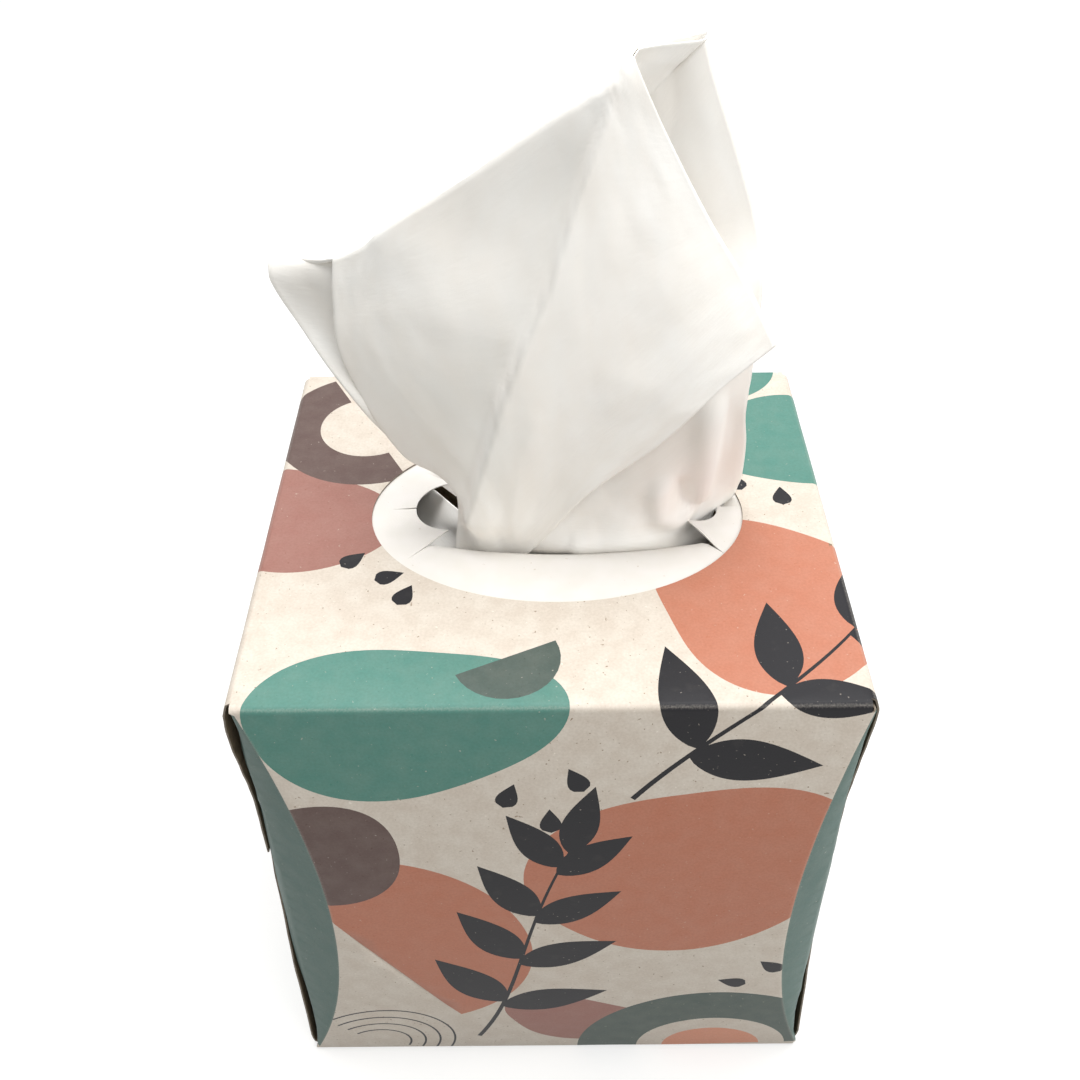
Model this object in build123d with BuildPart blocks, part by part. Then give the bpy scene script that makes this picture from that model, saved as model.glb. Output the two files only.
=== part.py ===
import os
from math import cos, pi, radians, sin, sqrt, tan

from build123d import *

# A cube box of paper tissues in use: a folded carton, the slot sheet under its oval mouth,
# the pile that is left inside and one tissue pulled halfway out.
# Millimetres. The origin is the centre of the footprint, +Z is up and -Y is the front.

# Carton
box_width = 115.0
box_depth = 106.0
box_height = 122.0
board = 0.5
fold_radius = 1.4
panel_bow = 5.0  # the front and back panels swell by this much at half height

# Curved creases of the dust flaps
left_dip = 13.0  # how far a crease comes in from the side at half height
right_dip = 9.2
left_inset = 1.2  # how far it starts from the side
right_inset = 0.6
dust_flap_angle = 41.0  # in plan, between the box's width and the flap
dust_flap_gap = 26.0  # bare stretch between the front and back dust flaps

# End flaps, glued over the dust flaps
top_flap_length = 50.0
bottom_flap_stop = 24.0  # how far below the top a bottom flap ends
flap_relief = 0.4  # how far a flap stays back from the rounded front and back folds
top_taper_share = 0.06  # further narrowing of each edge, as a share of the length
bottom_taper_share = 0.04

# Oval mouth in the top panel
mouth_length = 76.6
mouth_width = 54.6
mouth_shift_x = 1.9
mouth_shift_y = 1.0

# Slot sheet: paper glued under the mouth, with a slot whose two lips bend into the box
paper = 0.3
sheet_side_gap = 8.2  # from the box's sides to the sheet's edges
sheet_end_gap = 14.7
slot_length = 62.6
slot_width = 14.6
slot_shift_x = 3.9
slot_shift_y = 2.5
slit = 0.4
slit_length = 5.0
lip_root_length = 64.4
front_lip_root = 15.9  # from the slot's middle line to the line where the lip bends
back_lip_root = 13.7
lip_bend_radius = 3.0
front_lip_angle = 65.0
back_lip_angle = 55.0

# Pile of folded, interleaved tissues
pile_side_gap = 11.5  # room beside the pile, where the curved creases come in
pile_end_gap = 5.0
pile_height = 76.0
pile_folds = 12
fold_roundness_share = 0.8  # how much of a fold's height its rounded edge bulges out by
seat_gap = 0.3

# Pulled tissue: one loose sheet, folded over at its crest and gathered in the slot
tissue = 0.6
tissue_reach = 50.0  # sideways, from the box's centre line
tissue_swell = 11.0  # forwards and backwards
tissue_rise = 96.0  # above the top panel
gather_depth = 2.4
gather_bow = 7.0  # how far the sheet's middle comes forward to the front lip
gather_left = 20.4
gather_right = 31.0
tail_side_gap = 3.0  # from the pile's edges to the tail's
tail_end_gap = 8.0
tail_droop = 1.2

overrun = 10.0

core_width = box_width - 4 * board  # over the dust flaps, inside both end flaps
under_top = box_height - board
mouth_centre = (mouth_shift_x, mouth_shift_y)
slot_centre = (slot_shift_x, slot_shift_y)
pile_width = box_width - 2 * pile_side_gap
pile_depth = box_depth - 2 * pile_end_gap
tail_half = pile_width / 2 - tail_side_gap
tail_length = pile_depth / 2 - tail_end_gap


# The tube of four panels closed by the dust flaps, with every face moved in by inset
def folded_core(inset):
    half_depth = box_depth / 2
    with BuildPart() as core:
        with BuildSketch(Plane.YZ) as panels:
            with BuildLine():
                ThreePointArc(
                    (-half_depth, 0),
                    (-half_depth - panel_bow, box_height / 2),
                    (-half_depth, box_height),
                )
                Line((-half_depth, box_height), (half_depth, box_height))
                ThreePointArc(
                    (half_depth, box_height),
                    (half_depth + panel_bow, box_height / 2),
                    (half_depth, 0),
                )
                Line((half_depth, 0), (-half_depth, 0))
            make_face()
            fillet(panels.vertices(), fold_radius)
            if inset:
                offset(amount=-inset)
        extrude(amount=core_width / 2 - inset, both=True)

        # A corner hollow is one lens, pushed along the direction of its dust flap
        for side, dip, crease_inset in (
            (-1, left_dip, left_inset),
            (1, right_dip, right_inset),
        ):
            for end in (-1, 1):
                across = 1 / tan(radians(dust_flap_angle))
                start = half_depth + panel_bow + overrun
                shift = inset / sin(radians(dust_flap_angle))
                side_plane = box_width / 2 - overrun * across - shift
                crease_end = side_plane - crease_inset - panel_bow * across
                crease_middle = side_plane - dip
                sagitta = crease_end - crease_middle
                radius = ((box_height / 2) ** 2 + sagitta**2) / (2 * sagitta)
                reach = box_height / 2 + overrun
                crease_past = crease_middle + radius - sqrt(radius**2 - reach**2)
                outer = box_width / 2 + overrun
                high = box_height + overrun
                with BuildSketch(Plane.XZ.offset(-end * start)):
                    with BuildLine():
                        ThreePointArc(
                            (side * crease_past, -overrun),
                            (side * crease_middle, box_height / 2),
                            (side * crease_past, high),
                        )
                        Polyline(
                            (side * crease_past, high),
                            (side * outer, high),
                            (side * outer, -overrun),
                            (side * crease_past, -overrun),
                        )
                    make_face()
                way = (side * across, -end, 0)
                extrude(amount=start + outer, dir=way, mode=Mode.SUBTRACT)
    return core.part


# An end flap with its strip of panel: up is 1 for a flap hanging from the top, -1 for one
# standing on the base
def end_flap(outer_face, length, taper_share, up):
    base = box_height / 2

    def at(x, drop):
        return x, base + up * (base - drop)

    inner_face = outer_face - board
    strip = box_width / 2 - 2 * fold_radius
    inner_radius = fold_radius - board
    diagonal = cos(radians(45))
    with BuildPart() as flap:
        with BuildSketch(Plane.XZ):
            with BuildLine():
                Line(at(strip, 0), at(outer_face - fold_radius, 0))
                ThreePointArc(
                    at(outer_face - fold_radius, 0),
                    at(outer_face - fold_radius * (1 - diagonal), fold_radius * (1 - diagonal)),
                    at(outer_face, fold_radius),
                )
                Polyline(
                    at(outer_face, fold_radius),
                    at(outer_face, length),
                    at(inner_face, length),
                    at(inner_face, fold_radius),
                )
                ThreePointArc(
                    at(inner_face, fold_radius),
                    at(inner_face - inner_radius * (1 - diagonal), board + inner_radius * (1 - diagonal)),
                    at(outer_face - fold_radius, board),
                )
                Polyline(at(outer_face - fold_radius, board), at(strip, board), at(strip, 0))
            make_face()
        extrude(amount=box_depth / 2, both=True)
        wide = box_depth / 2 - fold_radius - flap_relief
        narrow = wide - taper_share * length
        with BuildSketch(Plane.YZ):
            with BuildLine():
                Polyline(at(-wide, 0), at(wide, 0), at(narrow, length), at(-narrow, length), close=True)
            make_face()
        extrude(amount=box_width, mode=Mode.INTERSECT)
    return flap.part


cavity = folded_core(board)
closed_core = folded_core(0)
bottom_flap_length = box_height - bottom_flap_stop
standing_face = box_width / 2 - board
bottom_flap = end_flap(standing_face, bottom_flap_length, bottom_taper_share, -1)
top_flap = end_flap(box_width / 2, top_flap_length, top_taper_share, 1)

with BuildPart() as carton:
    add(closed_core)
    for flap in (bottom_flap, top_flap):
        add(flap)
        add(mirror(flap, about=Plane.YZ, mode=Mode.PRIVATE))
    add(cavity, mode=Mode.SUBTRACT)
    with BuildSketch(Plane.YZ):
        with Locations((0, box_height / 2)):
            Rectangle(dust_flap_gap, box_height - 2 * board)
    extrude(amount=core_width / 2, both=True, mode=Mode.SUBTRACT)
    with BuildSketch(Plane.XY.offset(under_top)):
        with Locations(mouth_centre):
            Ellipse(mouth_length / 2, mouth_width / 2)
    extrude(amount=board, mode=Mode.SUBTRACT)


# A lip of the slot sheet, bent down about its root line: side is -1 at the front, 1 at the back
def bent_lip(root, angle, side):
    turn = radians(angle)
    straight = root - slot_width / 2 - lip_bend_radius * turn
    hinge = slot_shift_y + side * root

    def at(radius, swing, run):
        out = radius * sin(swing) + run * cos(swing)
        down = lip_bend_radius - radius * cos(swing) + run * sin(swing)
        return hinge - side * out, under_top - down

    inner_radius = lip_bend_radius - paper
    with BuildPart() as lip:
        with BuildSketch(Plane.YZ):
            with BuildLine():
                ThreePointArc(
                    at(lip_bend_radius, 0, 0),
                    at(lip_bend_radius, turn / 2, 0),
                    at(lip_bend_radius, turn, 0),
                )
                Polyline(
                    at(lip_bend_radius, turn, 0),
                    at(lip_bend_radius, turn, straight),
                    at(inner_radius, turn, straight),
                    at(inner_radius, turn, 0),
                )
                ThreePointArc(
                    at(inner_radius, turn, 0),
                    at(inner_radius, turn / 2, 0),
                    at(inner_radius, 0, 0),
                )
                Line(at(inner_radius, 0, 0), at(lip_bend_radius, 0, 0))
            make_face()
        extrude(amount=slot_length, both=True)
        tip, _ = at(lip_bend_radius, turn, straight)
        straight_slot = slot_length - slot_width
        with BuildSketch(Plane.XY.offset(under_top - root)):
            with BuildLine():
                Polyline(
                    (slot_shift_x - lip_root_length / 2, hinge),
                    (slot_shift_x + lip_root_length / 2, hinge),
                    (slot_shift_x + straight_slot / 2, tip),
                    (slot_shift_x - straight_slot / 2, tip),
                    close=True,
                )
            make_face()
        extrude(amount=2 * root, mode=Mode.INTERSECT)
    return lip.part


front_lip = bent_lip(front_lip_root, front_lip_angle, -1)
back_lip = bent_lip(back_lip_root, back_lip_angle, 1)

with BuildPart() as slot_sheet:
    with BuildSketch(Plane.XY.offset(under_top)):
        with Locations(mouth_centre):
            Rectangle(box_width - 2 * sheet_side_gap, box_depth - 2 * sheet_end_gap)
        with Locations(slot_centre):
            SlotOverall(slot_length, slot_width, mode=Mode.SUBTRACT)
            Rectangle(slot_length + 2 * slit_length, slit, mode=Mode.SUBTRACT)
        # The lips leave gaps that widen from the slot's straight sides to their roots
        for root, side in ((front_lip_root, -1), (back_lip_root, 1)):
            root_half = lip_root_length / 2
            slot_half = (slot_length - slot_width) / 2
            with BuildLine():
                Polyline(
                    (slot_shift_x - root_half, slot_shift_y + side * root),
                    (slot_shift_x + root_half, slot_shift_y + side * root),
                    (slot_shift_x + slot_half, slot_shift_y + side * slot_width / 2),
                    (slot_shift_x + slot_half, slot_shift_y),
                    (slot_shift_x - slot_half, slot_shift_y),
                    (slot_shift_x - slot_half, slot_shift_y + side * slot_width / 2),
                    close=True,
                )
            make_face(mode=Mode.SUBTRACT)
    extrude(amount=-paper)
    add(front_lip)
    add(back_lip)

with BuildPart() as tissue_pile:
    fold_height = pile_height / pile_folds
    bulge = fold_height / 2 * fold_roundness_share
    flat_half = pile_width / 2 - bulge
    with BuildSketch(Plane.XZ):
        with BuildLine():
            for side in (-1, 1):
                for level in range(pile_folds):
                    foot = board + level * fold_height
                    ThreePointArc(
                        (side * flat_half, foot),
                        (side * pile_width / 2, foot + fold_height / 2),
                        (side * flat_half, foot + fold_height),
                    )
            Line((-flat_half, board), (flat_half, board))
            Line((-flat_half, board + pile_height), (flat_half, board + pile_height))
        make_face()
    extrude(amount=pile_depth / 2, both=True)

# Guide rows of the pulled tissue, from the hem that hangs at the front, over the crest and
# down the back to the slot. Each point is (x, y, z) in shares of reach, swell and rise, and
# every row runs from the sheet's left edge to its right edge.
guide_row_shares = (
    ((-0.40, -0.55, -0.10), (-0.32, -0.62, -0.10), (-0.18, -0.64, -0.09), (-0.07, -0.76, -0.02),
     (0.16, -0.90, 0.15), (0.41, -0.93, 0.31), (0.61, -0.90, 0.40), (0.80, -0.73, 0.48)),
    ((-0.41, -0.60, 0.02), (-0.37, -0.80, 0.00), (-0.21, -0.86, 0.00), (-0.07, -0.90, 0.06),
     (0.14, -0.97, 0.21), (0.38, -0.97, 0.36), (0.59, -0.93, 0.44), (0.78, -0.73, 0.51)),
    ((-0.53, 0.00, 0.12), (-0.40, -0.40, 0.16), (-0.24, -0.73, 0.20), (-0.04, -0.87, 0.25),
     (0.16, -1.00, 0.35), (0.36, -1.07, 0.44), (0.55, -1.00, 0.51), (0.70, -0.67, 0.57)),
    ((-0.75, -0.13, 0.38), (-0.58, -0.33, 0.42), (-0.40, -0.53, 0.47), (-0.16, -0.80, 0.52),
     (0.10, -1.03, 0.56), (0.28, -1.00, 0.60), (0.44, -0.80, 0.63), (0.58, -0.47, 0.66)),
    ((-0.75, -0.07, 0.53), (-0.58, -0.20, 0.57), (-0.40, -0.33, 0.63), (-0.18, -0.53, 0.70),
     (0.06, -0.67, 0.76), (0.20, -0.60, 0.79), (0.32, -0.47, 0.81), (0.43, -0.27, 0.80)),
    ((-0.75, 0.00, 0.61), (-0.62, 0.00, 0.65), (-0.48, 0.00, 0.69), (-0.24, 0.03, 0.76),
     (0.00, 0.07, 0.84), (0.14, 0.10, 0.89), (0.21, 0.13, 0.92), (0.28, 0.20, 0.95)),
    ((-0.96, 0.20, 0.58), (-0.72, 0.40, 0.56), (-0.54, 0.53, 0.57), (-0.24, 0.73, 0.63),
     (0.04, 0.80, 0.72), (0.22, 0.73, 0.81), (0.38, 0.60, 0.92), (0.52, 0.40, 1.00)),
    ((-0.78, 0.27, 0.32), (-0.62, 0.53, 0.33), (-0.46, 0.67, 0.35), (-0.20, 0.83, 0.41),
     (0.06, 0.87, 0.47), (0.28, 0.87, 0.53), (0.52, 0.67, 0.60), (0.70, 0.40, 0.65)),
    ((-0.59, 0.27, 0.16), (-0.46, 0.47, 0.17), (-0.31, 0.60, 0.18), (-0.12, 0.73, 0.20),
     (0.10, 0.80, 0.23), (0.30, 0.80, 0.26), (0.59, 0.60, 0.37), (0.78, 0.33, 0.49)),
    ((-0.48, 0.27, 0.07), (-0.34, 0.40, 0.08), (-0.20, 0.53, 0.09), (-0.02, 0.60, 0.10),
     (0.16, 0.67, 0.12), (0.34, 0.67, 0.15), (0.61, 0.47, 0.22), (0.76, 0.20, 0.30)),
)


# Points halfway between neighbours are added along a row
def refined(row):
    finer = []
    for here, following in zip(row, row[1:]):
        finer += [here, (here + following) / 2]
    return finer + [row[-1]]


# A row pleated by turns to the front and the back, which bows forward in its middle
def gathered_row(left, right, ends, bow, level, depth, count):
    row = []
    for place in range(count):
        share = place / (count - 1)
        fold = depth if place % 2 == 0 else -depth
        row.append(Vector(left + (right - left) * share, ends - bow * sin(pi * share) + fold, level))
    return row


# A closed thin solid about a grid of points, half its thickness to each side
def thin_sheet(grid, thickness):
    rows, columns = len(grid), len(grid[0])
    near, far = [], []
    for r in range(rows):
        near.append([])
        far.append([])
        for c in range(columns):
            along = grid[r][min(c + 1, columns - 1)] - grid[r][max(c - 1, 0)]
            upward = grid[min(r + 1, rows - 1)][c] - grid[max(r - 1, 0)][c]
            step = along.cross(upward).normalized() * (thickness / 2)
            near[r].append(grid[r][c] + step)
            far[r].append(grid[r][c] - step)

    faces = []

    def quad(a, b, c, d):
        faces.append(Face(Wire.make_polygon([a, b, c])))
        faces.append(Face(Wire.make_polygon([a, c, d])))

    for r in range(rows - 1):
        for c in range(columns - 1):
            for side in (near, far):
                quad(side[r][c], side[r][c + 1], side[r + 1][c + 1], side[r + 1][c])
    for r in range(rows - 1):
        for c in (0, columns - 1):
            quad(near[r][c], near[r + 1][c], far[r + 1][c], far[r][c])
    for c in range(columns - 1):
        for r in (0, rows - 1):
            quad(near[r][c], near[r][c + 1], far[r][c + 1], far[r][c])
    return Solid(Shell(faces))


tissue_grid = []
for shares in guide_row_shares:
    points = []
    for x, y, z in shares:
        points.append(Vector(x * tissue_reach, y * tissue_swell, box_height + z * tissue_rise))
    tissue_grid.append(refined(points))
columns = len(tissue_grid[0])
pile_top = board + pile_height
free_height = under_top - pile_top
seat = pile_top + seat_gap + tissue / 2
in_slot = under_top - paper - slit
over_slot = gather_right + 2 * gather_depth
low_left = gather_left + gather_depth
upper_level = under_top - free_height / 3
lower_level = under_top - free_height * 2 / 3
# (left, right, place of the ends, bow, height, pleat depth) of the rows in the slot and under it
for left, right, ends, bow, level, depth in (
    (gather_left, over_slot, slot_shift_y, gather_bow, box_height + gather_depth, gather_depth / 2),
    (gather_left, gather_right, slot_shift_y, gather_bow, in_slot, gather_depth),
    (gather_left, gather_right, slot_shift_y, gather_bow / 2, upper_level, gather_depth),
    (low_left, gather_right, 0, 0, lower_level, gather_depth),
):
    tissue_grid.append(gathered_row(-left, right, ends, bow, level, depth, columns))
for half, middle, level, depth in (
    (tail_half - tail_droop, gather_depth, seat + gather_depth, gather_depth / 4),
    (tail_half, tail_length / 4, seat, 0),
    (tail_half, tail_length, seat, 0),
):
    tissue_grid.append(gathered_row(-half, half, middle, 0, level, depth, columns))

with BuildPart() as pulled_tissue:
    add(thin_sheet(tissue_grid, tissue))

os.makedirs("parts", exist_ok=True)
for name, piece in (
    ("carton", carton),
    ("slot_sheet", slot_sheet),
    ("tissue_pile", tissue_pile),
    ("pulled_tissue", pulled_tissue),
):
    piece.part.label = name
    export_step(piece.part, f"parts/{name}.step")
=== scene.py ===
import bisect
import math

import bpy
from mathutils import Matrix, Vector, noise
from mathutils.geometry import delaunay_2d_cdt


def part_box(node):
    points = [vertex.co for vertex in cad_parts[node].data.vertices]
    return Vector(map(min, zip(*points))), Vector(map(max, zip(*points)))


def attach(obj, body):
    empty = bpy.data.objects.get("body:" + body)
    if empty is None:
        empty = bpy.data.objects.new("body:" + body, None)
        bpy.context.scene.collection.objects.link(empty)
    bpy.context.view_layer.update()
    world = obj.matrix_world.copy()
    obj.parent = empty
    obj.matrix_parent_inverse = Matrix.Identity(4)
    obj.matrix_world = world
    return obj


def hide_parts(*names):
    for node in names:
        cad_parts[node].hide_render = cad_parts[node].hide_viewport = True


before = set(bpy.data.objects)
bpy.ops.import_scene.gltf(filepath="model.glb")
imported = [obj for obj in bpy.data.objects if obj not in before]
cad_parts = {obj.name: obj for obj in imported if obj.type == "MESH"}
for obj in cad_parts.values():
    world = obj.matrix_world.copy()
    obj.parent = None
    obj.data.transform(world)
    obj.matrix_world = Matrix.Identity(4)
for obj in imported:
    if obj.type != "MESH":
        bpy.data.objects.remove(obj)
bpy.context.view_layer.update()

mm = 0.001
scene = bpy.context.scene


# Helpers for meshes and materials

def linear(hexColour):
    values = [int(hexColour[i:i + 2], 16) / 255 for i in (1, 3, 5)]
    return [v / 12.92 if v <= 0.04045 else ((v + 0.055) / 1.055) ** 2.4 for v in values] + [1.0]


# Adds a node with its settings and links, and gives back the output that goes on from it
def addNode(tree, kind, inputs=None, output=0, **settings):
    node = tree.nodes.new("ShaderNode" + kind)
    for name, value in settings.items():
        setattr(node, name, value)
    for socket, value in (inputs or {}).items():
        if isinstance(value, bpy.types.NodeSocket):
            tree.links.new(value, node.inputs[socket])
        else:
            node.inputs[socket].default_value = value
    return node.outputs[output]


def newMaterial(name, inputs):
    material = bpy.data.materials.new(name)
    material.use_nodes = True
    shader = material.node_tree.nodes["Principled BSDF"]
    for socket, value in inputs.items():
        shader.inputs[socket].default_value = value
    return material, material.node_tree, shader


# Lays one colour over another by each mask in turn
def layered(tree, colour, layers):
    for mask, over in layers:
        colour = addNode(tree, "Mix", {0: mask, 6: colour, 7: linear(over)}, 2, data_type="RGBA")
    return colour


# Links the colour, and the relief of a grain that is so many millimetres high
def dressed(tree, shader, colour, grain, height, strength):
    bump = addNode(tree, "Bump", {"Height": grain, "Distance": height * mm, "Strength": strength})
    tree.links.new(colour, shader.inputs["Base Color"])
    tree.links.new(bump, shader.inputs["Normal"])


def meshObject(name, points, faces):
    mesh = bpy.data.meshes.new(name)
    mesh.from_pydata([Vector(p) * mm for p in points], [], faces)
    mesh.update()
    piece = bpy.data.objects.new(name, mesh)
    scene.collection.objects.link(piece)
    return piece


def makeActive(piece):
    bpy.ops.object.select_all(action="DESELECT")
    piece.select_set(True)
    bpy.context.view_layer.objects.active = piece


def applyModifier(piece, kind, **settings):
    makeActive(piece)
    modifier = piece.modifiers.new(kind.title(), kind)
    for name, value in settings.items():
        setattr(modifier, name, value)
    bpy.ops.object.modifier_apply(modifier=modifier.name)


def smoothed(piece, degrees):
    makeActive(piece)
    bpy.ops.object.shade_smooth_by_angle(angle=math.radians(degrees))


# The piece's own UV map: where each point lies on the flat material
def flatMap(mesh, places):
    layer = mesh.uv_layers.new(name="flat")
    for loop in mesh.loops:
        layer.data[loop.index].uv = places[loop.vertex_index]


# Triangulates flat outlines and lines together, and says which outlines hold each triangle
def triangulated(outlines, lines, scattered):
    points, edges, faces = [], [], []
    for outline in outlines:
        area = sum(a[0] * b[1] - b[0] * a[1] for a, b in zip(outline, outline[1:] + outline[:1]))
        ordered = outline if area > 0 else outline[::-1]
        faces.append(list(range(len(points), len(points) + len(ordered))))
        points += [Vector(p) for p in ordered]
    for line in lines:
        edges += [(i, i + 1) for i in range(len(points), len(points) + len(line) - 1)]
        points += [Vector(p) for p in line]
    points += [Vector(p) for p in scattered]
    nearest = 1e-4  # mm; points that lie nearer than this become one
    flat, _, triangles, _, _, holders = delaunay_2d_cdt(points, edges, faces, 0, nearest, True)
    return flat, triangles, holders


# Drops the points that no triangle uses
def trimmed(flat, triangles):
    used = sorted({i for triangle in triangles for i in triangle})
    place = {old: new for new, old in enumerate(used)}
    return [flat[i] for i in used], [[place[i] for i in triangle] for triangle in triangles]


def steps(start, end, spacing):
    count = max(1, round(abs(end - start) / spacing))
    return [start + (end - start) * i / count for i in range(count + 1)]


def scatteredGrid(left, right, low, high, spacing):
    return [(x, y) for x in steps(left, right, spacing) for y in steps(low, high, spacing)]


# An outline with points added along its long edges, so that it can bend
def densified(outline, spacing):
    points = []
    for (x0, y0), (x1, y1) in zip(outline, outline[1:] + outline[:1]):
        count = max(1, round(math.hypot(x1 - x0, y1 - y0) / spacing))
        points += [(x0 + (x1 - x0) * i / count, y0 + (y1 - y0) * i / count) for i in range(count)]
    return points


def smoothStep(value):
    value = max(0.0, min(1.0, value))
    return value * value * (3 - 2 * value)


# Camera, as the photograph was taken

camera = {
    "place": (-0.00106, -0.19555, 0.28475),
    "tilt": 90 - 40.99,  # degrees up from straight down
    "turn": 0.19,
    "roll": -0.65,
    "lens": 41.017,
    "sensor": 36.0,
    "nearest": 0.01,
}


def makeCamera():
    data = bpy.data.cameras.new("camera")
    data.lens, data.sensor_width, data.clip_start = camera["lens"], camera["sensor"], camera["nearest"]
    view = bpy.data.objects.new("camera", data)
    turn, tilt, roll = (Matrix.Rotation(math.radians(camera[name]), 4, axis)
                        for name, axis in (("turn", "Z"), ("tilt", "X"), ("roll", "Z")))
    view.matrix_world = Matrix.Translation(camera["place"]) @ (turn @ tilt) @ roll
    scene.collection.objects.link(view)
    scene.camera = view


# Pale floor and soft studio light

studio = {
    "floorSize": 6.0,
    "floorColour": "#B4B4B2",
    "floorGlow": 0.58,  # whitens the floor to the eye and lights nothing
    "worldLight": 0.38,
    # name: (place, aim, size, watts)
    "lamps": {
        "overhead": ((0.03, 0.16, 1.10), (0.0, 0.02, 0.10), 0.90, 14.4),
        "frontFill": ((0.20, -0.46, 0.62), (0.0, 0.0, 0.17), 0.30, 1.10),
        "sideFill": ((0.95, -0.35, 0.60), (0.0, 0.0, 0.12), 0.60, 4.0),
    },
}


# 1 where a surface is seen, straight or through gloss or glass, and 0 where it only gives light
def pathMask(tree):
    seen = addNode(tree, "LightPath", output="Is Camera Ray")
    for name in ("Is Glossy Ray", "Is Transmission Ray"):
        ray = addNode(tree, "LightPath", output=name)
        seen = addNode(tree, "Math", {0: seen, 1: ray}, operation="MAXIMUM")
    return seen


def makeStudio():
    white = (1, 1, 1, 1)
    scene.world = bpy.data.worlds.new("studio")
    scene.world.use_nodes = True
    tree = scene.world.node_tree
    plain = tree.nodes["Background"]
    plain.inputs["Color"].default_value = white
    plain.inputs["Strength"].default_value = studio["worldLight"]
    shown = addNode(tree, "Background", {"Color": white, "Strength": 1.0})
    mixed = addNode(tree, "MixShader", {0: pathMask(tree), 1: plain.outputs[0], 2: shown})
    tree.links.new(mixed, tree.nodes["World Output"].inputs["Surface"])

    bpy.ops.mesh.primitive_plane_add(size=studio["floorSize"])
    floor = bpy.context.object
    floor.name = "floor"
    # Matte paper: no shine at all
    material, tree, shader = newMaterial("matte paper backdrop", {
        "Base Color": linear(studio["floorColour"]), "Roughness": 0.9, "Specular IOR Level": 0.1})
    strength = addNode(tree, "Math", {0: pathMask(tree), 1: studio["floorGlow"]}, operation="MULTIPLY")
    glow = addNode(tree, "Emission", {"Color": white, "Strength": strength})
    both = addNode(tree, "AddShader", {0: shader.outputs[0], 1: glow})
    tree.links.new(both, tree.nodes["Material Output"].inputs["Surface"])
    floor.data.materials.append(material)

    for name, (place, aim, size, watts) in studio["lamps"].items():
        data = bpy.data.lights.new(name, "AREA")
        data.size, data.energy = size, watts
        lamp = bpy.data.objects.new(name, data)
        lamp.location = place
        lamp.rotation_mode = "QUATERNION"
        lamp.rotation_quaternion = (Vector(aim) - Vector(place)).to_track_quat("-Z", "Y")
        scene.collection.objects.link(lamp)

    scene.view_settings.view_transform = "Standard"


print("camera and studio")
bpy.ops.object.select_all(action="DESELECT")
makeCamera()
makeStudio()


# Printed folding boxboard, from recycled fibre: cream and matt, with flecks that show through the inks

# name: (colour, share of the board that the ink covers)
inks = {
    "cream board": (None, 0.0),  # the bare stock
    "terracotta ink": ("#B36C51", 0.93),
    "peach ink": ("#D4896A", 0.90),
    "mauve ink": ("#925F55", 0.93),
    "brown ink": ("#503A37", 0.95),
    "teal ink": ("#3D7A6F", 0.94),
    "dust flap green ink": ("#4D6A65", 0.95),
    "dark green ink": ("#324742", 0.95),
    "charcoal ink": ("#19181C", 1.03),  # covers where it lies thin too
}

board = {
    "stock": "#D3CABE",
    "stockShade": "#CCC1B4",
    "fibreDark": "#94826F",
    "fibreLight": "#E3DBD0",
    "mottle": 4.0,  # mm
    "fleck": 0.8,  # mm between the places where a fleck can lie; real ones are finer
    "grain": 0.35,  # mm, coarser than the real fibre so that it shows
    "grainHeight": 0.03,  # mm
    "speckle": 0.5,  # mm
    "speckleTint": (0.90, 0.89, 0.87, 1.0),
    "inkMottle": 0.04,  # share of the ink that is missing where the press mottled it
    "inkWorn": 0.34,  # and over fibres that stand proud
    "rubbingAndHighlight": (0.22, 0.65, 0.16),  # grain at which a fold starts to look rubbed pale, is most so, and how much; the pale line is partly real rubbing and partly a painted highlight along the crease
    "roughness": 0.5,
    "gloss": 0.26,
    "glossUnvarnished": 0.14,  # the flaps that are glued have no varnish
    # unprinted pulp, pale and dark, of the cut edges and of the back; both are darker than the bare pulp, a
    # painted shade that makes the gaps between the flaps read deep
    "raw": {"edge": ("#8E8376", "#6F6458"), "back": ("#85725A", "#6B5B46")},
    "rawMottle": 1.6,  # mm
    "rawRoughness": 0.85,
}


def millimetreCoordinates(tree):
    uv = addNode(tree, "UVMap", uv_map="flat")
    return addNode(tree, "VectorMath", {0: uv, 3: 1 / mm}, operation="SCALE")


# Noise cut to a mask, 0 below low and 1 above high; each seed takes another part of the pattern
def fleckMask(tree, place, spacing, low, high, seed):
    shift = (seed * 37.3, seed * 11.9, seed * 5.1)
    moved = addNode(tree, "VectorMath", {0: place, 1: shift})
    field = addNode(tree, "TexNoise", {"Vector": moved, "Scale": 1 / spacing, "Detail": 2.0})
    return addNode(tree, "MapRange", {"Value": field, "From Min": low, "From Max": high})


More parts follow.
